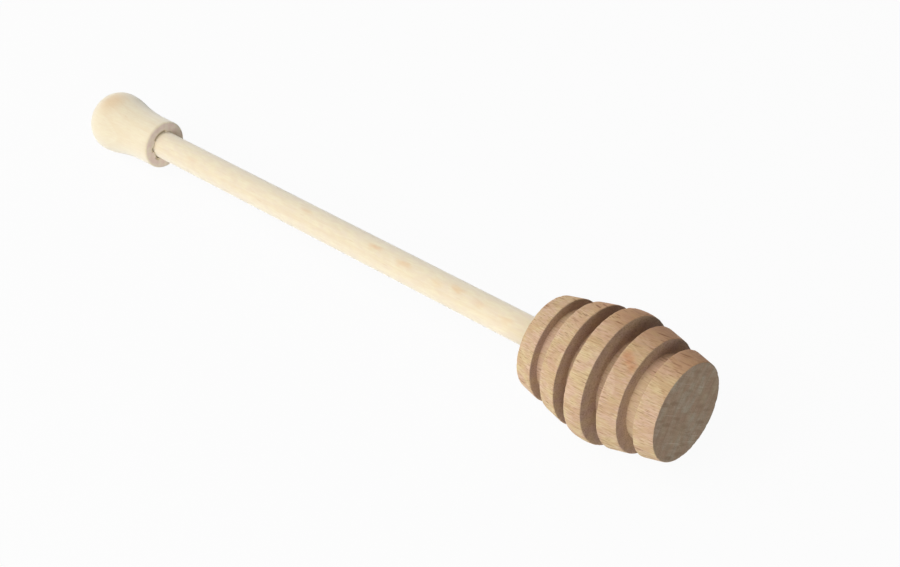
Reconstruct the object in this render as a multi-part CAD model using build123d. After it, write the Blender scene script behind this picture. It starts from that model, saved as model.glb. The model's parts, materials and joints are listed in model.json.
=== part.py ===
from build123d import *
import os
from math import asin, atan2, cos, degrees, hypot, radians, sin, tan

# Honey dipper: a ribbed head, a round dowel handle and a small turned knob, glued together.
# Every piece is turned about the local X axis, which starts in the middle of the head's
# flat end face and runs along the handle to the knob. All sizes are in millimetres.

# Handle: a length of round dowel stock
dowel_diameter = 6.0
dowel_length = 140.0
dowel_end_chamfer = 0.5

# Head: two cones that meet in a rounded crown, cut into ribs by square grooves
rib_count = 5
rib_width = 3.92
groove_width = 2.9
groove_floor_radius = 8.25
groove_root_round = 0.25
rib_edge_round = 0.2
end_face_radius = 9.57
back_face_radius = 9.4
crown_radius = 12.8
crown_round = 9.9
crown_place_share = 0.4955

# Knob: a straight neck that flares into a bulb with a domed end
knob_length = 21.6
knob_neck_radius = 5.33
knob_neck_length = 3.9
knob_bulb_radius = 6.74
knob_dome_length = 5.65
knob_shoulder_round = 4.7
knob_mouth_round = 0.45
knob_hollow_flare_share = 0.72

# Sockets: drilled blind into the head and the knob, a little wider than the dowel
head_socket_depth = 17.5
head_socket_clearance = 0.1
knob_socket_depth = 12.4
knob_socket_clearance = 0.25
socket_end_gap = 0.3
socket_mouth_chamfer = 0.25
drill_point_angle = 118.0

# Glue: fills each socket round the dowel and stops short of the mouth
head_glue_recess = 0.8
knob_glue_recess = 1.6

# A cutting shape reaches this far past the face that it cuts
overrun = 5.0

# Places along the axis that follow from the sizes above
dowel_radius = dowel_diameter / 2
head_socket_radius = dowel_radius + head_socket_clearance
knob_socket_radius = dowel_radius + knob_socket_clearance
rib_pitch = rib_width + groove_width
head_length = rib_count * rib_pitch - groove_width
crown_place = head_length * crown_place_share
dowel_start = head_length - head_socket_depth + socket_end_gap
dowel_finish = dowel_start + dowel_length
knob_mouth = dowel_finish + socket_end_gap - knob_socket_depth
knob_bulb_place = knob_mouth + knob_length - knob_dome_length
knob_finish = knob_mouth + knob_length


def tangent_point(centre, radius, point, side):
    """The place where a line from the point touches the circle, on its left (1) or right (-1)."""
    towards_point = atan2(point[1] - centre[1], point[0] - centre[0])
    distance = hypot(point[0] - centre[0], point[1] - centre[1])
    angle = towards_point + side * atan2((distance**2 - radius**2) ** 0.5, radius)
    return (centre[0] + radius * cos(angle), centre[1] + radius * sin(angle))


def turned(outline):
    """A closed half outline, turned once round the axis."""
    return revolve(make_face(outline), axis=Axis.X)


def at_rib_edge(corner):
    """True for a corner of the head's half outline where a rib's side meets its rim."""
    return corner.Y > groove_floor_radius + groove_root_round and any(
        abs(corner.X - edge) < rib_edge_round
        for rib in range(rib_count)
        for edge in (rib * rib_pitch, rib * rib_pitch + rib_width)
    )


def at_groove_root(corner):
    """True for a corner of the half outline at the bottom of a groove."""
    return abs(corner.Y - groove_floor_radius) < groove_root_round


def drilled_tip(bottom, radius, towards):
    """The place on the axis that the drill's point reaches past the full bore."""
    return (bottom + towards * radius / tan(radians(drill_point_angle / 2)), 0)


def socket(mouth, depth, radius, towards):
    """The space cut for a socket: a bore with a chamfered mouth and a drilled bottom.

    It is open outside the mouth; towards is 1 where the drill goes along the axis.
    """
    wide = radius + socket_mouth_chamfer
    outside = mouth - towards * overrun
    bottom = mouth + towards * depth
    return turned(
        Polyline(
            (outside, 0),
            (outside, wide),
            (mouth, wide),
            (mouth + towards * socket_mouth_chamfer, radius),
            (bottom, radius),
            drilled_tip(bottom, radius, towards),
            close=True,
        )
    )


def glue(mouth, depth, radius, recess, towards, dowel):
    """The hardened glue in a socket, round the dowel and under its end."""
    opening = mouth + towards * recess
    bottom = mouth + towards * depth
    fill = Polyline(
        (opening, 0), (opening, radius), (bottom, radius), drilled_tip(bottom, radius, towards), close=True
    )
    return turned(fill) - dowel


def barrel_face():
    """Half the head's outline before the grooves: two straight sides and a rounded crown."""
    centre = (crown_place, crown_radius - crown_round)
    front = tangent_point(centre, crown_round, (0, end_face_radius), -1)
    back = tangent_point(centre, crown_round, (head_length, back_face_radius), 1)
    outline = Polyline((head_length, back_face_radius), (head_length, 0), (0, 0), (0, end_face_radius), front)
    outline += ThreePointArc(front, (crown_place, crown_radius), back)
    outline += Line(back, (head_length, back_face_radius))
    return make_face(outline)


def groove_face(number):
    """The half section of one groove, open past the crown."""
    middle = number * rib_pitch - groove_width / 2
    height = crown_radius + overrun - groove_floor_radius
    return Pos(middle, groove_floor_radius + height / 2) * Rectangle(groove_width, height)


def dipper_head():
    """The ribbed head, with the blind socket for the handle in its back face."""
    section = barrel_face()
    for number in range(1, rib_count):
        section -= groove_face(number)
    section = fillet(section.vertices().filter_by(at_rib_edge), rib_edge_round)
    section = fillet(section.vertices().filter_by(at_groove_root), groove_root_round)
    return revolve(section, axis=Axis.X) - socket(head_length, head_socket_depth, head_socket_radius, -1)


def handle_dowel():
    """The round handle, with a chamfer at each end that guides it into its socket."""
    return turned(
        Polyline(
            (dowel_start, 0),
            (dowel_start, dowel_radius - dowel_end_chamfer),
            (dowel_start + dowel_end_chamfer, dowel_radius),
            (dowel_finish - dowel_end_chamfer, dowel_radius),
            (dowel_finish, dowel_radius - dowel_end_chamfer),
            (dowel_finish, 0),
            close=True,
        )
    )


def knob_cap_radius():
    """The radius of the dome's cap, which is centred on the axis and touches the shoulder."""
    shoulder_height = knob_bulb_radius - knob_shoulder_round
    rise = knob_dome_length**2 + shoulder_height**2 - knob_shoulder_round**2
    return rise / (2 * (knob_dome_length - knob_shoulder_round))


def knob_outline():
    """Half the knob's outline, from the mouth over the neck, flare, bulb and dome."""
    neck_finish = (knob_mouth + knob_neck_length, knob_neck_radius)
    bulb = (knob_bulb_place, knob_bulb_radius)
    flare_angle = 2 * atan2(bulb[1] - neck_finish[1], bulb[0] - neck_finish[0])
    hollow_share = knob_hollow_flare_share
    bend = (
        neck_finish[0] + hollow_share * (bulb[0] - neck_finish[0]),
        neck_finish[1] + hollow_share * (bulb[1] - neck_finish[1]),
    )
    shoulder = (knob_bulb_place, knob_bulb_radius - knob_shoulder_round)
    cap_radius = knob_cap_radius()
    cap_centre = knob_finish - cap_radius
    cap_angle = atan2(shoulder[1], shoulder[0] - cap_centre)
    cap_edge = (cap_centre + cap_radius * cos(cap_angle), cap_radius * sin(cap_angle))
    outline = Polyline((knob_finish, 0), (knob_mouth, 0), (knob_mouth, knob_neck_radius), neck_finish)
    outline += TangentArc(neck_finish, bend, tangent=(1, 0))
    outline += TangentArc(bend, bulb, tangent=(cos(flare_angle), sin(flare_angle)))
    outline += TangentArc(bulb, cap_edge, tangent=(1, 0))
    outline += TangentArc(cap_edge, (knob_finish, 0), tangent=(sin(cap_angle), -cos(cap_angle)))
    return outline


def at_knob_mouth(corner):
    """True for the corner of the knob's half outline at the outer edge of its mouth."""
    return abs(corner.X - knob_mouth) < knob_mouth_round and corner.Y > dowel_radius


def end_knob():
    """The turned knob, with the blind socket for the handle in its mouth."""
    section = make_face(knob_outline())
    section = fillet(section.vertices().filter_by(at_knob_mouth), knob_mouth_round)
    return revolve(section, axis=Axis.X) - socket(knob_mouth, knob_socket_depth, knob_socket_radius, 1)


def lying_place():
    """The place of the dipper on a table at height zero, head towards +X.

    It touches the table with the head's crown and the knob's shoulder. Both are arcs, so the
    slope of the axis is that of the line that touches the two circles from below.
    """
    crown_centre = (crown_place, crown_radius - crown_round)
    shoulder_centre = (knob_bulb_place, knob_bulb_radius - knob_shoulder_round)
    run = shoulder_centre[0] - crown_centre[0]
    drop = crown_centre[1] - shoulder_centre[1]
    slope = atan2(drop, run) + asin((crown_round - knob_shoulder_round) / hypot(run, drop))
    end_height = crown_round + crown_centre[0] * sin(slope) + crown_centre[1] * cos(slope)
    return Pos(0, 0, end_height) * Rot(0, -degrees(slope), 0) * Rot(0, 0, 180)


def main():
    dowel = handle_dowel()
    pieces = {
        "dipper_head": dipper_head(),
        "handle_dowel": dowel,
        "end_knob": end_knob(),
        "head_glue": glue(head_length, head_socket_depth, head_socket_radius, head_glue_recess, -1, dowel),
        "knob_glue": glue(knob_mouth, knob_socket_depth, knob_socket_radius, knob_glue_recess, 1, dowel),
    }
    place = lying_place()
    laid = {name: place * piece for name, piece in pieces.items()}
    middle = Compound(list(laid.values())).bounding_box().center().X
    os.makedirs("parts", exist_ok=True)
    for name, piece in laid.items():
        export_step(Pos(-middle, 0, 0) * piece, f"parts/{name}.step")


main()
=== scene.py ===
import json
import math

import bpy
import numpy as np
from mathutils import Matrix, Vector, noise


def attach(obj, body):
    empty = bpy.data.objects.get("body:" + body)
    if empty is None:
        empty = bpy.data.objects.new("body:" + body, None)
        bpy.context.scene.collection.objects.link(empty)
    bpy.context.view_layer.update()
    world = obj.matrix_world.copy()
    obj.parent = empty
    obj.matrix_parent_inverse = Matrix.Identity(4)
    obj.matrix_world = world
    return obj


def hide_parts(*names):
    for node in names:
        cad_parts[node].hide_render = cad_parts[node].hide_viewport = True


# A wooden honey dipper: a ribbed head of steamed beech, a birch dowel and a turned birch knob.
# The dipper's sizes are in millimetres, and mm turns them to metres. The studio's are in metres.
mm = 0.001

# Head
rib_count = 5
rib_width = 3.92
groove_width = 2.9
groove_floor_radius = 8.25
groove_root_round = 0.25
rib_edge_round = 0.2
end_face_radius = 9.57
back_face_radius = 9.4
crown_radius = 12.8
crown_round = 9.9
crown_place_share = 0.4955
head_socket_radius = 3.1
head_socket_depth = 17.5

# Handle
dowel_radius = 3.0
dowel_length = 140.0
dowel_chamfer = 0.5
dowel_end_gap = 0.3

# Knob. The edge round its socket is hardly broken, so the mouth is only a little wider than the bore.
knob_length = 21.6
knob_neck_radius = 5.33
knob_neck_length = 3.9
knob_bulb_radius = 6.74
knob_dome_length = 5.65
knob_shoulder_round = 4.7
knob_mouth_round = 0.45
knob_mouth_radius = 3.29
knob_hollow_flare_share = 0.72
knob_socket_radius = 3.25
knob_socket_depth = 12.4

# Both sockets
socket_mouth_chamfer = 0.25
drill_half_angle = math.radians(59)

# Places along the turning axis, from the head's end face towards the knob
rib_pitch = rib_width + groove_width
rib_edges = [rib * rib_pitch + edge for rib in range(rib_count) for edge in (0, rib_width)]
head_length = rib_count * rib_pitch - groove_width
crown_place = head_length * crown_place_share
dowel_start = head_length - head_socket_depth + dowel_end_gap
dowel_finish = dowel_start + dowel_length
knob_mouth = dowel_finish + dowel_end_gap - knob_socket_depth
knob_bulb_place = knob_mouth + knob_length - knob_dome_length
knob_finish = knob_mouth + knob_length

# Relief that is cut into the turned surfaces, as the greatest depth and the usual width
turned_waver_depth = 0.03
turned_waver_width = 7.0
dowel_flat_depth = 0.025
dowel_flat_width = 1.6
dowel_flat_length = 45.0

# Nibbles that the tool tore out of the rims, within the worn width of each edge. They are longer along
# the axis than wide. Their noise has a fall-off, a ratio between its sizes and a number of sizes.
rim_nibble_depth = 0.07
rim_nibble_width = 0.9
rim_nibble_stretch = 2
rim_nibble_noise = (1.0, 2.0, 3)
rim_nibble_gain = 2
rim_worn_width = 0.4

# Glue in the knob's mouth. It ends just below the mouth, but for a few gaps where there was too little,
# each given by its middle and half its width in degrees above the front. A gap's sides slope over some
# degrees too, and the mouth's inner edge is chipped along it.
glue_step_back = 0.03
glue_gap_depth = 1.3
glue_gap_slope = 4.0
glue_gaps = [(72, 32), (4, 10), (-43, 11)]
knob_chip_depth = 0.5

# Mesh spacing: the longest step along an outline, the steps of its round stretches, the added places
# across a rib's rim, the sides of a full turn, and the angle above which an edge is shaded as sharp
outline_step = 0.5
dowel_step = 1.0
corner_steps = 5
knob_hollow_steps = 16
knob_flare_steps = 10
knob_shoulder_steps = 16
knob_cap_steps = 8
rim_shares = (0.25, 0.5, 0.75)
head_sides = 400
knob_sides = 240
dowel_sides = 120
sharp_edge = math.radians(40)


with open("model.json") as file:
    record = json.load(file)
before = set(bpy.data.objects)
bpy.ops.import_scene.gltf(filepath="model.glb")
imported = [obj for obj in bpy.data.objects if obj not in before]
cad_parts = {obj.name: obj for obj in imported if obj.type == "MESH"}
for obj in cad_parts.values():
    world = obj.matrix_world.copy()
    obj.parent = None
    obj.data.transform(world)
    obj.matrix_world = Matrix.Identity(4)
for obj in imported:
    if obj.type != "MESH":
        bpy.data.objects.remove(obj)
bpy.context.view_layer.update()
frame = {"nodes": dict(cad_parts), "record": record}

# The turning axis: it starts in the end face and runs to the knob. The front faces the camera's side.
end_face = next(m for m in frame["record"]["mounts"] if m["name"] == "end_face")
axis_start = Vector(end_face["pos_m"])
along = -Vector(end_face["axis"]).normalized()
front = Vector((0, -1, 0))
upward = along.cross(front)


def arc(start, direction, finish, steps):
    """The points after start on the round stretch that leaves it along direction and ends at finish."""
    across = finish - start
    side = np.array((-direction[1], direction[0]))
    radius = across @ across / (2 * (across @ side))
    turn = 2 * math.atan2(across @ side, across @ direction)
    bends = [turn * step / steps for step in range(1, steps + 1)]
    return [start + radius * (math.sin(b) * direction + (1 - math.cos(b)) * side) for b in bends]


def rounded(corners):
    """An outline through corners, each given as its place along the axis, its height and its round."""
    points = [np.array(corner[:2], float) for corner in corners]
    outline = [points[0]]
    for before, point, after, corner in zip(points, points[1:], points[2:], corners[1:]):
        back = (before - point) / np.linalg.norm(before - point)
        on = (after - point) / np.linalg.norm(after - point)
        reach = corner[2] / math.tan(math.acos(back @ on) / 2)
        outline.append(point + back * reach)
        if reach:
            outline += arc(point + back * reach, -back, point + on * reach, corner_steps)
    return outline + [points[-1]]


def spaced(outline, longest):
    """The same outline with points added where two are further apart than longest."""
    points = []
    for start, finish in zip(outline, outline[1:]):
        parts = math.ceil(np.linalg.norm(finish - start) / longest)
        points += [start + (finish - start) * part / parts for part in range(parts)]
    return points + [outline[-1]]


def touching(centre, radius, point, side):
    """The place where a line from the point touches the circle, on its left (1) or right (-1)."""
    distance = math.dist(point, centre)
    bend = math.atan2(math.sqrt(distance**2 - radius**2), radius)
    angle = math.atan2(point[1] - centre[1], point[0] - centre[0]) + side * bend
    return centre[0] + radius * math.cos(angle), centre[1] + radius * math.sin(angle)


crown_centre = (crown_place, crown_radius - crown_round)
front_touch = touching(crown_centre, crown_round, (0, end_face_radius), -1)
back_touch = touching(crown_centre, crown_round, (head_length, back_face_radius), 1)


def barrel_radius(place):
    """The head's outer radius: two straight slopes with a round crown between them."""
    if place < front_touch[0]:
        share = place / front_touch[0]
        return end_face_radius + share * (front_touch[1] - end_face_radius)
    if place > back_touch[0]:
        share = (head_length - place) / (head_length - back_touch[0])
        return back_face_radius + share * (back_touch[1] - back_face_radius)
    return crown_centre[1] + math.sqrt(crown_round**2 - (place - crown_place) ** 2)


rims = [(edge, barrel_radius(edge)) for edge in rib_edges]


def socket_outline(mouth, depth, radius, towards):
    """The points of a drilled socket, from its mouth to the tip that the drill left on the axis."""
    bottom = mouth + towards * depth
    return [
        np.array(point)
        for point in (
            (mouth + towards * socket_mouth_chamfer, radius),
            (bottom, radius),
            (bottom + towards * radius / math.tan(drill_half_angle), 0),
        )
    ]


def head_outline():
    """Half the head's section: the end face, five ribs with square grooves, the back face and socket."""
    corners = [(0, 0, 0)]
    for rib in range(rib_count):
        start = rib * rib_pitch
        finish = start + rib_width
        middles = [start + rib_width * share for share in rim_shares]
        corners.append((start, barrel_radius(start), rib_edge_round))
        corners += [(middle, barrel_radius(middle), 0) for middle in middles]
        corners.append((finish, barrel_radius(finish), rib_edge_round))
        if rib < rib_count - 1:
            corners.append((finish, groove_floor_radius, groove_root_round))
            corners.append((finish + groove_width, groove_floor_radius, groove_root_round))
    corners.append((head_length, head_socket_radius + socket_mouth_chamfer, 0))
    socket = socket_outline(head_length, head_socket_depth, head_socket_radius, -1)
    return spaced(rounded(corners), outline_step) + socket


def dowel_outline():
    """Half the dowel's section, with a chamfer at each end."""
    corners = [
        (dowel_start, 0),
        (dowel_start, dowel_radius - dowel_chamfer),
        (dowel_start + dowel_chamfer, dowel_radius),
        (dowel_finish - dowel_chamfer, dowel_radius),
        (dowel_finish, dowel_radius - dowel_chamfer),
        (dowel_finish, 0),
    ]
    return spaced([np.array(corner) for corner in corners], dowel_step)


def knob_outline():
    """Half the knob's section: its socket, then the mouth, neck, hollow flare, bulb and domed end."""
    neck = np.array((knob_mouth + knob_neck_length, knob_neck_radius))
    bulb = np.array((knob_bulb_place, knob_bulb_radius))
    tip = np.array((knob_finish, 0.0))
    bend = neck + knob_hollow_flare_share * (bulb - neck)
    flare = 2 * math.atan2(*(bulb - neck)[::-1])
    shoulder_height = knob_bulb_radius - knob_shoulder_round
    rise = knob_dome_length**2 + shoulder_height**2 - knob_shoulder_round**2
    cap_radius = rise / (2 * (knob_dome_length - knob_shoulder_round))
    cap_centre = knob_finish - cap_radius
    cap_turn = math.atan2(shoulder_height, knob_bulb_place - cap_centre)
    cap_edge = np.array((cap_centre + cap_radius * math.cos(cap_turn), cap_radius * math.sin(cap_turn)))
    flat_way = np.array((1.0, 0.0))
    flare_way = np.array((math.cos(flare), math.sin(flare)))
    cap_way = np.array((math.sin(cap_turn), -math.cos(cap_turn)))
    outline = rounded(
        [
            (knob_mouth, knob_mouth_radius, 0),
            (knob_mouth, knob_neck_radius, knob_mouth_round),
            (*neck, 0),
        ]
    )
    outline += arc(neck, flat_way, bend, knob_hollow_steps)
    outline += arc(bend, flare_way, bulb, knob_flare_steps)
    outline += arc(bulb, flat_way, cap_edge, knob_shoulder_steps)
    outline += arc(cap_edge, cap_way, tip, knob_cap_steps)
    socket = socket_outline(knob_mouth, knob_socket_depth, knob_socket_radius, 1)
    return socket[::-1] + spaced(outline, outline_step)


def knob_glue_outline():
    """Half the section of the glue in the knob: round the dowel's end, then back down the socket."""
    opening = knob_mouth + glue_step_back
    dowel_side = [
        (dowel_finish, 0),
        (dowel_finish, dowel_radius - dowel_chamfer),
        (dowel_finish - dowel_chamfer, dowel_radius),
        (opening, dowel_radius),
        (opening, knob_mouth_radius),
    ]
    socket = socket_outline(knob_mouth, knob_socket_depth, knob_socket_radius, 1)
    return [np.array(point) for point in dowel_side] + socket


def turned(name, outline, sides, relief, material, inward=None):
    """A closed piece turned from a half outline that starts and ends on the axis.

    relief gives how deep a point lies under the plain turned surface, so the piece stays inside it.
    It is cut square to that surface, or along inward where that is given.
    """
    outline = np.array(outline)
    steps = np.gradient(outline, axis=0)
    outward = np.stack((-steps[:, 1], steps[:, 0]), axis=1)
    outward /= np.linalg.norm(outward, axis=1, keepdims=True)
    if inward:
        outward[:] = np.negative(inward)
    verts = []
    for place, height, lift, spread in np.hstack((outline[1:-1], outward[1:-1])):
        for side in range(sides):
            turn = math.tau * side / sides
            radial = front * math.cos(turn) + upward * math.sin(turn)
            depth = relief(place, height, radial)
            verts.append(along * (place - depth * lift) + radial * (height - depth * spread))
    rings = len(outline) - 2
    first = len(verts)
    last = first + 1
    verts += [along * outline[0][0], along * outline[-1][0]]
    faces = []
    for side in range(sides):
        on = (side + 1) % sides
        faces.append((first, on, side))
        for ring in range(0, (rings - 1) * sides, sides):
            faces.append((ring + side, ring + on, ring + sides + on, ring + sides + side))
        final = (rings - 1) * sides
        faces.append((final + side, final + on, last))
    mesh = bpy.data.meshes.new(name)
    mesh.from_pydata([axis_start + vert * mm for vert in verts], [], faces)
    mesh.shade_smooth()
    mesh.set_sharp_from_angle(angle=sharp_edge)
    mesh.materials.append(material)
    piece = bpy.data.objects.new(name, mesh)
    bpy.context.scene.collection.objects.link(piece)
    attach(piece, "root")
    return piece


def uneven(spot):
    """Smooth noise between 0 and 1."""
    return 0.5 + 0.5 * noise.noise(spot)


def waver(place, height, radial):
    """The slow unevenness of wood that was turned by hand feed and has dried since."""
    spot = (along * place + radial * height) / turned_waver_width
    return turned_waver_depth * uneven(spot)


def head_relief(place, height, radial):
    """Small bites that the cutter tore out of the rims, on the waver of the turned wood."""
    near = min(math.hypot(place - rim_place, height - rim_height) for rim_place, rim_height in rims)
    depth = waver(place, height, radial)
    if near < rim_worn_width:
        spot = (along * place / rim_nibble_stretch + radial * height) / rim_nibble_width
        bite = max(0.0, noise.fractal(spot, *rim_nibble_noise))
        depth += rim_nibble_depth * min(1.0, rim_nibble_gain * bite) * (1 - near / rim_worn_width)
    return depth


def dowel_relief(place, height, radial):
    """The faint flats and ripples that run along a milled dowel."""
    spot = radial * height / dowel_flat_width + along * place / dowel_flat_length
    return dowel_flat_depth * uneven(spot)


def glue_missing(radial):
    """How far a direction lies in a gap of the glue in the knob's mouth: 0 outside, 1 inside."""
    turn = math.degrees(math.atan2(radial @ upward, radial @ front))
    beside = min(abs(turn - middle) - half for middle, half in glue_gaps)
    return min(1.0, max(0.0, -beside / glue_gap_slope))


def glue_relief(place, height, radial):
    """How far the glue stops short of the knob's mouth where there was too little of it."""
    at_mouth = place <= knob_mouth + glue_step_back
    return glue_gap_depth * glue_missing(radial) if at_mouth else 0.0


def knob_relief(place, height, radial):
    """Chips in the mouth's inner edge along the gaps in the glue, on the waver of the turned wood."""
    at_edge = place <= knob_mouth and height <= knob_mouth_radius
    chip = knob_chip_depth * glue_missing(radial) if at_edge else 0.0
    return chip + waver(place, height, radial)


def add(tree, kind, ports=None, **settings):
    """Adds a node with its settings. A port takes a value, or a link from a socket or from a node."""
    new = tree.nodes.new("ShaderNode" + kind)
    for name, value in settings.items():
        setattr(new, name, value)
    for port, value in (ports or {}).items():
        if isinstance(port, str):
            port = next(i for i, s in enumerate(new.inputs) if s.name == port and s.enabled)
        if isinstance(value, bpy.types.Node):
            value = next(s for s in value.outputs if s.enabled)
        if isinstance(value, bpy.types.NodeSocket):
            tree.links.new(value, new.inputs[port])
        else:
            new.inputs[port].default_value = value
    return new


def paint(code):
    """An sRGB hex colour as the linear colour that a shader reads."""
    channels = [int(code[i : i + 2], 16) / 255 for i in (1, 3, 5)]
    return [c / 12.92 if c <= 0.04045 else ((c + 0.055) / 1.055) ** 2.4 for c in channels] + [1.0]


# How noise becomes a pattern: where it begins to show, and where it shows in full
cloud_contrast = {"From Min": 0.38, "From Max": 0.62}
patch_contrast = {"From Min": 0.4, "From Max": 0.6}
fibre_contrast = {"From Min": 0.35, "From Max": 0.7}
pore_contrast = {"From Min": 0.45, "From Max": 0.7}
scratch_contrast = {"From Min": 0.4, "From Max": 0.65}
crowd_contrast = {"From Min": 0.35, "From Max": 0.65, "To Min": 0.35, "To Max": 1.0}

# How much of its strength a streak's noise keeps from each layer to the next finer one
streak_roughness = 0.55

# A fleck is full strength out to this share of its half size, and fades from there to its edge
fleck_core_share = 0.45

# How far through a growth ring its dark late wood begins, is full, and fades to be gone at the next ring
late_wood_start_share = 0.45
late_wood_full_share = 0.93
late_wood_fade_share = 0.95

# Relief of the finished surfaces, in millimetres
tool_line_height = 0.006
beech_fibre_height = 0.012
beech_ray_depth = 0.012
birch_fibre_height = 0.008
glue_wrinkle_height = 0.02


def wood_directions(rays_up):
    """A turn from the scene's directions to the wood's own: its rays, its rings and its grain.

    The grain runs along the turning axis, and rays_up is how far the rays point above the front.
    """
    turn = math.radians(rays_up)
    rays = front * math.cos(turn) + upward * math.sin(turn)
    rings = upward * math.cos(turn) - front * math.sin(turn)
    return Matrix((rays, rings, along))


def wood_place(tree, rays_up):
    """Where a point lies in the wood: millimetres along its rays, rings and grain from the end face."""
    turn = wood_directions(rays_up)
    coordinates = add(tree, "TexCoord")
    return add(
        tree,
        "Mapping",
        {
            "Vector": coordinates.outputs["Object"],
            "Location": -(turn @ axis_start) / mm,
            "Rotation": turn.to_euler(),
            "Scale": (1 / mm, 1 / mm, 1 / mm),
        },
    )


def end_grain(tree, low, high):
    """How far the surface faces along the grain: 0 on long grain, 1 on end grain.

    It begins at low and is full at high, both cosines of the angle between the normal and the grain.
    """
    normal = add(tree, "TexCoord").outputs["Normal"]
    facing = add(tree, "VectorMath", {0: normal, 1: along}, operation="DOT_PRODUCT")
    size = add(tree, "Math", {0: facing}, operation="ABSOLUTE")
    rising = {"Value": size, "From Min": low, "From Max": high}
    return add(tree, "MapRange", rising, interpolation_type="SMOOTHSTEP")


def drifted(tree, place, width, length, drift):
    """The place in the wood after its fibres wander by about drift, over that width and length."""
    slower = (1 / width, 1 / width, 1 / length)
    slow = add(tree, "VectorMath", {0: place, 1: slower}, operation="MULTIPLY")
    wander = add(tree, "TexNoise", {"Vector": slow, "Scale": 1.0, "Detail": 1.0})
    noise_middle = (0.5, 0.5, 0.5)
    centring = {0: wander.outputs["Color"], 1: noise_middle}
    centred = add(tree, "VectorMath", centring, operation="SUBTRACT")
    reach = (2 * drift, 2 * drift, 0)
    return add(tree, "VectorMath", {0: centred, 1: reach, 2: place}, operation="MULTIPLY_ADD")


def streaks(tree, place, size, detail=2.0):
    """Cloudy noise stretched to that size in millimetres along the rays, the rings and the grain."""
    fine = add(tree, "VectorMath", {0: place, 1: size}, operation="DIVIDE")
    look = {"Scale": 1.0, "Detail": detail, "Roughness": streak_roughness}
    return add(tree, "TexNoise", {"Vector": fine, **look})


def flecks(tree, place, spacing, size, fewest):
    """Lens-shaped cells of at most that size, scattered at that spacing, both in millimetres.

    The cells differ in strength, and a share of them, fewest, is missing.
    """
    scattered = add(tree, "VectorMath", {0: place, 1: spacing}, operation="DIVIDE")
    cell = add(tree, "TexVoronoi", {"Vector": scattered, "Scale": 1.0})
    offset = add(tree, "VectorMath", {0: scattered, 1: cell.outputs["Position"]}, operation="SUBTRACT")
    reach = [2 * space / whole for space, whole in zip(spacing, size)]
    lens = add(tree, "VectorMath", {0: offset, 1: reach}, operation="MULTIPLY")
    far = add(tree, "VectorMath", {0: lens}, operation="LENGTH")
    fading = {"Value": far, "From Min": 1.0, "From Max": fleck_core_share}
    inside = add(tree, "MapRange", fading, interpolation_type="SMOOTHSTEP")
    chance = add(tree, "SeparateColor", {"Color": cell.outputs["Color"]})
    strength = add(tree, "MapRange", {"Value": chance, "From Min": fewest, "From Max": 1.0})
    return add(tree, "Math", {0: inside, 1: strength}, operation="MULTIPLY")


def own_marks(tree, place, rays_up, radius, marks, size):
    """Soft stains of that size in millimetres on a turned surface of that radius."""
    half_size = [whole / 2 for whole in size]
    shown = 0.0
    for along_axis, above_front, strength in marks:
        turn = math.radians(above_front - rays_up)
        middle = (radius * math.cos(turn), radius * math.sin(turn), along_axis)
        offset = add(tree, "VectorMath", {0: place, 1: middle}, operation="SUBTRACT")
        lens = add(tree, "VectorMath", {0: offset, 1: half_size}, operation="DIVIDE")
        far = add(tree, "VectorMath", {0: lens}, operation="LENGTH")
        fading = {"Value": far, "From Min": 1.0, "From Max": 0.0, "To Max": strength}
        inside = add(tree, "MapRange", fading, interpolation_type="SMOOTHSTEP")
        shown = add(tree, "Math", {0: shown, 1: inside}, operation="MAXIMUM")
    return shown


def growth_rings(tree, place, pitch, pith):
    """The late wood of each growth ring: 0 in the early wood, rising to 1 at the ring's outer edge.

    The ring's centre, the pith, lies that far from the axis, against the way that the rays point.
    """
    from_pith = add(tree, "VectorMath", {0: place, 1: (pith, 0, 0)}, operation="ADD")
    level = add(tree, "VectorMath", {0: from_pith, 1: (1, 1, 0)}, operation="MULTIPLY")
    radius = add(tree, "VectorMath", {0: level}, operation="LENGTH")
    years = add(tree, "Math", {0: radius, 1: pitch}, operation="DIVIDE")
    season = add(tree, "Math", {0: years}, operation="FRACT")
    rising = {"Value": season, "From Min": late_wood_start_share, "From Max": late_wood_full_share}
    late = add(tree, "MapRange", rising, interpolation_type="SMOOTHSTEP")
    closing = {"Value": season, "From Min": 1.0, "From Max": late_wood_fade_share}
    edge = add(tree, "MapRange", closing, interpolation_type="SMOOTHSTEP")
    return add(tree, "Math", {0: late, 1: edge}, operation="MULTIPLY")


def stained(tree, wood, *stains):
    """The wood's colour under its stains, each given as where it shows, how strongly, and its colour."""
    for where, strength, code in stains:
        share = add(tree, "Math", {0: where, 1: strength}, operation="MULTIPLY")
        wood = add(tree, "Mix", {"Factor": share, "A": wood, "B": paint(code)}, data_type="RGBA")
    return wood


def fresh_tree(owner):
    """The empty node tree of a new material or world."""
    owner.use_nodes = True
    owner.node_tree.nodes.clear()
    return owner.node_tree


def finished(name, build, plain):
    """A material that build makes: it returns the colour, the roughness and the height in millimetres.

    plain holds the settings that are the same all over the surface.
    """
    material = bpy.data.materials.new(name)
    tree = fresh_tree(material)
    colour, roughness, height = build(tree)
    bump = add(tree, "Bump", {"Height": height, "Distance": mm, "Strength": 1.0})
    looks = {"Base Color": colour, "Roughness": roughness, "Normal": bump}
    shader = add(tree, "BsdfPrincipled", {**looks, **plain})
    add(tree, "OutputMaterial", {"Surface": shader})
    return material


# How far each piece's rays point above the front, in degrees
head_rays_up = 34
dowel_rays_up = 65
knob_rays_up = 10

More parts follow.
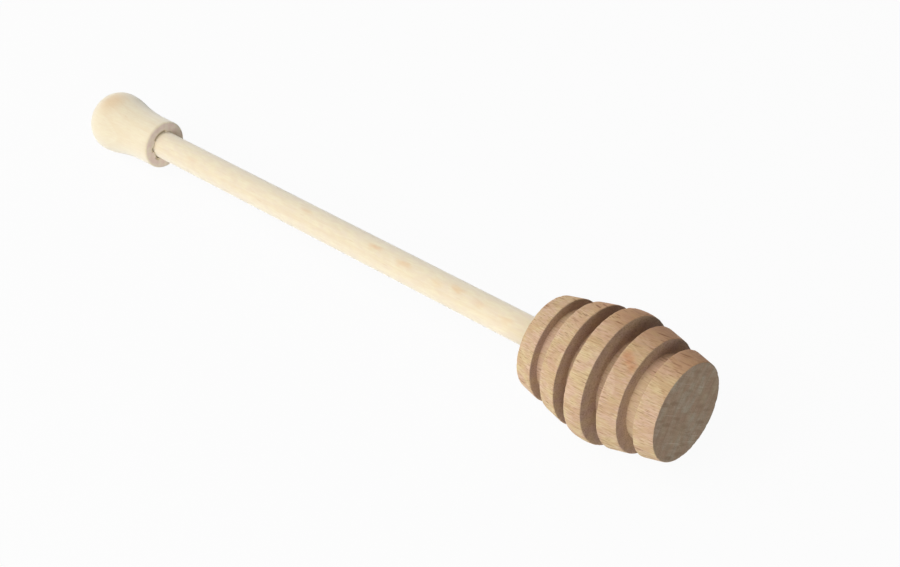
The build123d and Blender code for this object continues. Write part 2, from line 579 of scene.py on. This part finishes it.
# Marks that this dipper's own wood has: place along the axis, degrees above the front, and strength
head_marks = [(9.6, 65, 1.0), (8.7, 61.5, 1.0), (7.7, 58, 1.0)]
dowel_marks = [
    (75, 65, 1.0),
    (67, 57, 0.9),
    (58, 52, 0.45),
    (53, 64, 0.85),
    (47, 53, 0.45),
    (40, 43, 0.5),
    (130, 42, 0.3),
    (95, 67, 0.5),
]
knob_marks = [(157, 80, 1.0)]

# The head gets redder and darker backward, upward and towards the end face, which is this way along its
# rays, rings and grain. This is partly beech's own uneven reddening, and partly painted shade on the
# upper and back side. In millimetres along it from the end face's middle, the wood warms from the first
# of these places to the second, and reddens from the third to the fourth.
redness_and_shade_way = (-0.5, 0.86, -0.15)
warm_shade_start = -5.0
warm_shade_full = 5.0
red_shade_start = 1.5
red_shade_full = 8.0

# A groove floor's paler colour is painted light that lifts the shade in the groove. It is gone at the
# first of these heights above it, and full under the second.
floor_light_height = 0.5
floor_light_full_height = 0.2

# Behind the end face, end grain is sanded down to the first of these depths, and a wall from the second.
# The walls are painted warmer and paler, as painted light for the light bounced between the ribs.
sanded_depth = 0.3
groove_wall_depth = 0.6


def beech_figure(tree, grain):
    """The figure that runs through all of the head, as where each part of it shows.

    Real pores and narrow rays are under 0.1 mm wide, and fibres finer still. None would show, so they
    are drawn coarser: the narrow rays 0.14 mm thick, and the pores and fibres as bundles wider than that.
    """
    clouds = streaks(tree, grain, size=(3.4, 2.2, 3.2), detail=3.0)
    fibres = streaks(tree, grain, size=(0.8, 0.22, 3.2), detail=3.0)
    pores = streaks(tree, grain, size=(0.3, 0.24, 1.6), detail=1.0)
    return {
        "rings": growth_rings(tree, grain, pitch=2.3, pith=55),
        "clouds": add(tree, "MapRange", {"Value": clouds, **cloud_contrast}),
        "plain fibres": fibres,
        "fibres": add(tree, "MapRange", {"Value": fibres, **fibre_contrast}),
        "pores": add(tree, "MapRange", {"Value": pores, **pore_contrast}),
        "wide rays": flecks(tree, grain, spacing=(7.0, 0.62, 2.2), size=(9.0, 0.2, 2.5), fewest=0.35),
        "narrow rays": flecks(tree, grain, spacing=(4.0, 0.3, 1.2), size=(4.8, 0.14, 1.4), fewest=0.2),
    }


def beech_long_grain(tree, place, grain, figure):
    """The rims and groove floors, cut along the grain: pinkish tan, with the rays as short dark dashes.

    Beech reddens unevenly, and where it does the dashes are bolder too. They crowd in some places. The
    reddening is also painted shade: it makes the upper and back side redder and darker.
    """
    wandering = drifted(tree, place, width=12, length=14, drift=2.5)
    # Painted shade: the colour reddens and darkens towards the upper and back side, mixed with beech's
    # own uneven reddening, and the bold dashes follow it.
    redness_and_shade = add(tree, "VectorMath", {0: wandering, 1: redness_and_shade_way}, operation="DOT_PRODUCT")
    warmth_and_shade = add(tree, "MapRange", {"Value": redness_and_shade, "From Min": warm_shade_start, "From Max": warm_shade_full})
    reddened_and_shaded = add(tree, "MapRange", {"Value": redness_and_shade, "From Min": red_shade_start, "From Max": red_shade_full})
    bold_rays = flecks(tree, grain, spacing=(5.0, 0.9, 2.6), size=(6.4, 0.28, 3.0), fewest=0.4)
    bold_dashes = add(tree, "Math", {0: bold_rays, 1: warmth_and_shade}, operation="MULTIPLY")
    crowds = streaks(tree, grain, size=(8.0, 4.0, 5.0), detail=1.0)
    crowding = add(tree, "MapRange", {"Value": crowds, **crowd_contrast})
    wavy = drifted(tree, place, width=1.4, length=1.8, drift=0.8)
    mark_radius = barrel_radius(head_marks[0][0])
    blush = own_marks(tree, wavy, head_rays_up, mark_radius, head_marks, size=(4.8, 3.4, 2.8))
    rims_colour = stained(
        tree,
        paint("#E0CEA3"),
        (figure["clouds"], 1.0, "#DFC3AA"),
        (warmth_and_shade, 0.3, "#CB9262"),
        (reddened_and_shaded, 0.9, "#A46D44"),
        (blush, 0.65, "#D08A58"),
        (figure["rings"], 0.25, "#B98A62"),
        (figure["fibres"], 0.6, "#C79E74"),
        (figure["pores"], 0.25, "#A87C54"),
        (figure["narrow rays"], crowding, "#9C6B43"),
        (figure["wide rays"], crowding, "#865431"),
        (bold_dashes, 0.9, "#824A2A"),
    )
    # Painted light: the groove floors are tinted paler near their bottom, lifting the shade that falls in
    # the grooves.
    from_axis = add(tree, "VectorMath", {0: place, 1: (1, 1, 0)}, operation="MULTIPLY")
    height = add(tree, "VectorMath", {0: from_axis}, operation="LENGTH")
    nearing = {
        "Value": height,
        "From Min": groove_floor_radius + floor_light_height,
        "From Max": groove_floor_radius + floor_light_full_height,
    }
    painted_floor_light = add(tree, "MapRange", nearing)
    return stained(tree, rims_colour, (painted_floor_light, 0.2, "#F4D6BC"))


def beech_groove_walls(tree, figure):
    """The sides of the ribs, cut across the grain: browner, more even, and paler as painted bounce light.
    """
    return stained(
        tree,
        paint("#C7AA8A"),
        (figure["clouds"], 1.0, "#BEA08C"),
        (figure["fibres"], 0.25, "#A58670"),
        (figure["rings"], 0.1, "#8F6A4E"),
        (figure["pores"], 0.45, "#80604A"),
        (figure["narrow rays"], 0.3, "#C9AE94"),
    )


def beech_end_face(tree, place, grain, figure):
    """The sawn end of the head, sanded, which greys it: blotchy, with the rays as fine pale lines.

    The grit's real scratches and the saw's lines are about 0.1 mm wide, too fine to show, so they are
    drawn half a millimetre wide, crossing each other.
    """
    patches = streaks(tree, place, size=(4.0, 7.0, 20.0), detail=1.0)
    mottle = streaks(tree, place, size=(1.7, 3.0, 20.0), detail=3.0)
    scratches = streaks(tree, place, size=(3.2, 0.5, 20.0), detail=2.0)
    saw_lines = streaks(tree, place, size=(0.5, 3.6, 20.0), detail=2.0)
    patched = add(tree, "MapRange", {"Value": patches, **patch_contrast})
    mottled = add(tree, "MapRange", {"Value": mottle, **cloud_contrast})
    scratched = add(tree, "MapRange", {"Value": scratches, **scratch_contrast})
    sawn = add(tree, "MapRange", {"Value": saw_lines, **scratch_contrast})
    blotches = flecks(tree, grain, spacing=(2.9, 1.3, 3.0), size=(3.8, 1.1, 3.8), fewest=0.3)
    ray_ends = flecks(tree, grain, spacing=(6.0, 0.9, 3.0), size=(7.2, 0.24, 4.0), fewest=0.55)
    return stained(
        tree,
        paint("#C4BCA6"),
        (patched, 0.65, "#B9A07E"),
        (mottled, 0.75, "#B29078"),
        (figure["clouds"], 0.5, "#BA9C84"),
        (figure["rings"], 0.2, "#8A735C"),
        (scratched, 0.35, "#9A826A"),
        (sawn, 0.25, "#94806A"),
        (blotches, 0.5, "#86684E"),
        (figure["pores"], 0.3, "#7B6552"),
        (figure["narrow rays"], 0.25, "#BFB09A"),
        (ray_ends, 0.5, "#D8CBB4"),
    )


def steamed_beech(tree):
    """Steamed beech, turned and lightly sanded, with no oil or lacquer.

    Steaming gives it a warm pinkish tan. Its rays are ribbons up to 3 mm tall and 0.3 mm thick, which
    show as dark dashes on the rims and as pale lines on the end face. The turning tool's feed leaves
    lines about 0.18 mm apart, and the wide rays lie a little lower than the fibres.
    """
    place = wood_place(tree, head_rays_up)
    grain = drifted(tree, place, width=9, length=40, drift=0.5)
    figure = beech_figure(tree, grain)
    long_grain = beech_long_grain(tree, place, grain, figure)
    groove_walls = beech_groove_walls(tree, figure)
    sanded_face = beech_end_face(tree, place, grain, figure)

    # The cut grain shows the sanded end face near the end and the groove walls deeper in. The walls'
    # warmer, paler colour is painted light for the light bounced between the ribs.
    depth = add(tree, "SeparateXYZ", {"Vector": place}).outputs["Z"]
    inner = {"Value": depth, "From Min": sanded_depth, "From Max": groove_wall_depth}
    in_groove = add(tree, "MapRange", inner)
    cut = add(tree, "Mix", {"Factor": in_groove, "A": sanded_face, "B": groove_walls}, data_type="RGBA")
    across = end_grain(tree, low=0.6, high=0.9)
    colour = add(tree, "Mix", {"Factor": across, "A": long_grain, "B": cut}, data_type="RGBA")

    fibres = figure["plain fibres"]
    tool_lines = streaks(tree, place, size=(60.0, 60.0, 0.18), detail=1.0)
    lines = add(tree, "Math", {0: tool_lines, 1: tool_line_height}, operation="MULTIPLY")
    ridges = add(tree, "Math", {0: fibres, 1: beech_fibre_height, 2: lines}, operation="MULTIPLY_ADD")
    sunk_rays = {0: figure["wide rays"], 1: -beech_ray_depth, 2: ridges}
    height = add(tree, "Math", sunk_rays, operation="MULTIPLY_ADD")
    roughness = add(tree, "MapRange", {"Value": fibres, "To Min": 0.62, "To Max": 0.78})
    return colour, roughness, height


def pale_birch(rays_up, radius, marks, mark_size, pink, fibrous, peach):
    """Bare birch, milled or turned smooth, with no oil or lacquer: nearly even cream.

    It has soft pinkish clouds, fine fibres and pores along the grain, and a few peach marks, and pink,
    fibrous and peach say how strongly these show. The marks have that size in millimetres and lie on
    a surface of that radius. Real birch pores are about 0.1 mm wide and its fibres finer. To show, the
    pores are drawn 0.2 mm wide and the fibres as bundles a little wider.
    """

    def build(tree):
        place = wood_place(tree, rays_up)
        grain = drifted(tree, place, width=8, length=60, drift=0.4)
        rings = growth_rings(tree, grain, pitch=1.7, pith=40)
        clouds = streaks(tree, grain, size=(1.5, 1.3, 2.6), detail=2.5)
        fibres = streaks(tree, grain, size=(0.45, 0.3, 2.2), detail=3.0)
        pores = flecks(tree, grain, spacing=(0.7, 0.6, 3.0), size=(0.2, 0.18, 2.2), fewest=0.4)
        wavy = drifted(tree, place, width=1.2, length=2.0, drift=0.7)
        marked = own_marks(tree, wavy, rays_up, radius, marks, mark_size)

        clouded = add(tree, "MapRange", {"Value": clouds, **cloud_contrast})
        fibre = add(tree, "MapRange", {"Value": fibres, **fibre_contrast})
        long_grain = stained(
            tree,
            paint("#F5ECD2"),
            (clouded, pink, "#F0E3CF"),
            (rings, 0.25, "#ECDABA"),
            (fibre, fibrous, "#EAD9B8"),
            (pores, fibrous, "#D9BC90"),
            (marked, peach, "#E4B474"),
        )
        cut_grain = stained(
            tree,
            paint("#FBF1DF"),
            (clouded, 1.0, "#F8E6DB"),
            (rings, 0.2, "#E6D4BA"),
            (fibres, 0.2, "#E0CAB0"),
        )
        across = end_grain(tree, low=0.85, high=0.99)
        colour = add(tree, "Mix", {"Factor": across, "A": long_grain, "B": cut_grain}, data_type="RGBA")
        height = add(tree, "Math", {0: fibres, 1: birch_fibre_height}, operation="MULTIPLY")
        roughness = add(tree, "MapRange", {"Value": fibres, "To Min": 0.5, "To Max": 0.66})
        return colour, roughness, height

    return build


def dried_glue(tree):
    """Wood glue, squeezed out of the joint and dried to a thin film.

    It is cream like the birch that it lies on, faintly wrinkled, and smoother than the wood.
    """
    place = wood_place(tree, rays_up=0)
    wrinkles = streaks(tree, place, size=(0.6, 0.6, 0.6))
    colour = stained(tree, paint("#F0E6D0"), (wrinkles, 1.0, "#E6D6B8"))
    roughness = add(tree, "MapRange", {"Value": wrinkles, "To Min": 0.3, "To Max": 0.45})
    height = add(tree, "Math", {0: wrinkles, 1: glue_wrinkle_height}, operation="MULTIPLY")
    return colour, roughness, height


# Bare wood scatters light in its cut fibres, so it has little gloss and looks flat. Birch does so more
# than beech, with a soft sheen at its edges. The glue keeps an ordinary gloss.
bare_beech = {"Specular IOR Level": 0.25, "Diffuse Roughness": 0.6}
bare_birch = {
    "Specular IOR Level": 0.3,
    "Diffuse Roughness": 1.0,
    "Sheen Weight": 0.6,
    "Sheen Roughness": 0.5,
}
plain_glue = {"Specular IOR Level": 0.5}

dowel_birch = pale_birch(
    rays_up=dowel_rays_up,
    radius=dowel_radius,
    marks=dowel_marks,
    mark_size=(2.0, 2.0, 5.6),
    pink=0.7,
    fibrous=0.42,
    peach=0.45,
)
knob_birch = pale_birch(
    rays_up=knob_rays_up,
    radius=knob_bulb_radius,
    marks=knob_marks,
    mark_size=(12.0, 10.0, 8.0),
    pink=0.3,
    fibrous=0.36,
    peach=0.36,
)
head_wood = finished("steamed_beech_turned", steamed_beech, bare_beech)
dowel_wood = finished("birch_milled_dowel", dowel_birch, bare_birch)
knob_wood = finished("birch_turned", knob_birch, bare_birch)
glue = finished("wood_glue_dried", dried_glue, plain_glue)

head = turned("ribbed_head", head_outline(), head_sides, head_relief, head_wood)
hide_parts("dipper_head")
handle = turned("round_handle", dowel_outline(), dowel_sides, dowel_relief, dowel_wood)
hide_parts("handle_dowel")
knob = turned("turned_knob", knob_outline(), knob_sides, knob_relief, knob_wood)
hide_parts("end_knob")
filling = turned(
    "knob_glue_ring",
    knob_glue_outline(),
    knob_sides,
    glue_relief,
    glue,
    inward=(1, 0),
)
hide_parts("knob_glue")
head_glue = frame["nodes"]["head_glue"]
head_glue.data.materials.clear()
head_glue.data.materials.append(glue)


# The studio: a white floor with a glow of its own, and dim light all round. To the camera the glow hides
# this share of the floor's shading near the dipper, and all of it beyond the fade, which is in metres.
white = (1, 1, 1, 1)
floor_size = 4.0
floor_white = "#DEDEDE"
floor_glow_share = 0.945
floor_fade_start = 0.2
floor_fade_finish = 0.7
studio_light = 0.06


def shown_ray(tree):
    """1 for the rays that show the surroundings: seen by the camera, mirrored or seen through."""
    path = add(tree, "LightPath")
    direct = {0: path.outputs["Is Camera Ray"], 1: path.outputs["Is Glossy Ray"]}
    seen = add(tree, "Math", direct, operation="ADD")
    through = {0: seen, 1: path.outputs["Is Transmission Ray"]}
    return add(tree, "Math", through, operation="ADD", use_clamp=True)


def white_table():
    """A plain white table top, whose glow thins the dipper's soft shadow and hides the far edge."""
    material = bpy.data.materials.new("white_table")
    tree = fresh_tree(material)
    top = add(tree, "BsdfDiffuse", {"Color": paint(floor_white)})
    plain = add(tree, "Emission", {"Color": white, "Strength": 1.0})
    place = add(tree, "TexCoord").outputs["Object"]
    away = add(tree, "VectorMath", {0: place}, operation="LENGTH")
    fade = {"From Min": floor_fade_start, "From Max": floor_fade_finish, "To Min": floor_glow_share}
    glow = add(tree, "MapRange", {"Value": away, **fade}, interpolation_type="SMOOTHSTEP")
    share = add(tree, "Math", {0: shown_ray(tree), 1: glow}, operation="MULTIPLY")
    mixed = add(tree, "MixShader", {0: share, 1: top, 2: plain})
    add(tree, "OutputMaterial", {"Surface": mixed})
    half = floor_size / 2
    corners = [(-half, -half, 0), (half, -half, 0), (half, half, 0), (-half, half, 0)]
    mesh = bpy.data.meshes.new("table")
    mesh.from_pydata(corners, [], [(0, 1, 2, 3)])
    mesh.materials.append(material)
    table = bpy.data.objects.new("table", mesh)
    bpy.context.scene.collection.objects.link(table)


def studio_world():
    """Even dim light from all round, behind which the camera sees plain white."""
    world = bpy.data.worlds.new("studio")
    bpy.context.scene.world = world
    tree = fresh_tree(world)
    lit = add(tree, "Background", {"Color": white, "Strength": studio_light})
    seen = add(tree, "Background", {"Color": white, "Strength": 1.0})
    mixed = add(tree, "MixShader", {0: shown_ray(tree), 1: lit, 2: seen})
    add(tree, "OutputWorld", {"Surface": mixed})


# Softboxes as azimuth and elevation in degrees, and watts. Azimuth 0 stands in front of the dipper, and
# 90 at the head's end. They aim at the middle of the floor under the dipper.
softbox_size = 0.5
softbox_distance = 0.9
softbox_target = Vector((0, 0, 0))
softboxes = [
    ("front_softbox", -5, 38, 4.35),
    ("low_right_softbox", 42, 8, 2.82),
    ("left_softbox", -50, 35, 1.0),
    ("high_left_softbox", -48, 60, 1.5),
    ("rear_top_softbox", 170, 62, 0.6),
    ("rear_right_softbox", 195, 4, 3.2),
    ("rear_left_softbox", 250, 4, 2.6),
]

# The camera, as solved from the photograph, with its angles counted like the lamps' and its lens in mm
camera_azimuth = 42.932
camera_elevation = 36.726
camera_distance = 0.35565
camera_target = Vector((0.016412, 0.009451, 0.003291))
camera_lens = 70.92
camera_sensor = 36.0
camera_nearest = 0.01


def aimed(thing, target, azimuth, elevation, distance):
    """Puts a lamp or camera in the scene, that far from its target in that direction, looking at it."""
    turn = math.radians(azimuth)
    rise = math.radians(elevation)
    level = math.cos(rise)
    back = Vector((math.sin(turn) * level, -math.cos(turn) * level, math.sin(rise)))
    thing.location = target + back * distance
    thing.rotation_mode = "QUATERNION"
    thing.rotation_quaternion = back.to_track_quat("Z", "Y")
    bpy.context.scene.collection.objects.link(thing)


def softbox(name, azimuth, elevation, watts):
    """A square studio lamp aimed at the dipper."""
    lamp = bpy.data.lights.new(name, "AREA")
    lamp.size = softbox_size
    lamp.energy = watts
    stand = bpy.data.objects.new(name, lamp)
    aimed(stand, softbox_target, azimuth, elevation, softbox_distance)


def photo_camera():
    """The camera where the photograph's stood, with its lens."""
    lens = bpy.data.cameras.new("camera")
    lens.lens = camera_lens
    lens.sensor_width = camera_sensor
    lens.sensor_fit = "HORIZONTAL"
    lens.clip_start = camera_nearest
    camera = bpy.data.objects.new("camera", lens)
    aimed(camera, camera_target, camera_azimuth, camera_elevation, camera_distance)
    bpy.context.scene.camera = camera


white_table()
studio_world()
for name, azimuth, elevation, watts in softboxes:
    softbox(name, azimuth, elevation, watts)
photo_camera()
bpy.context.scene.view_settings.view_transform = "Standard"
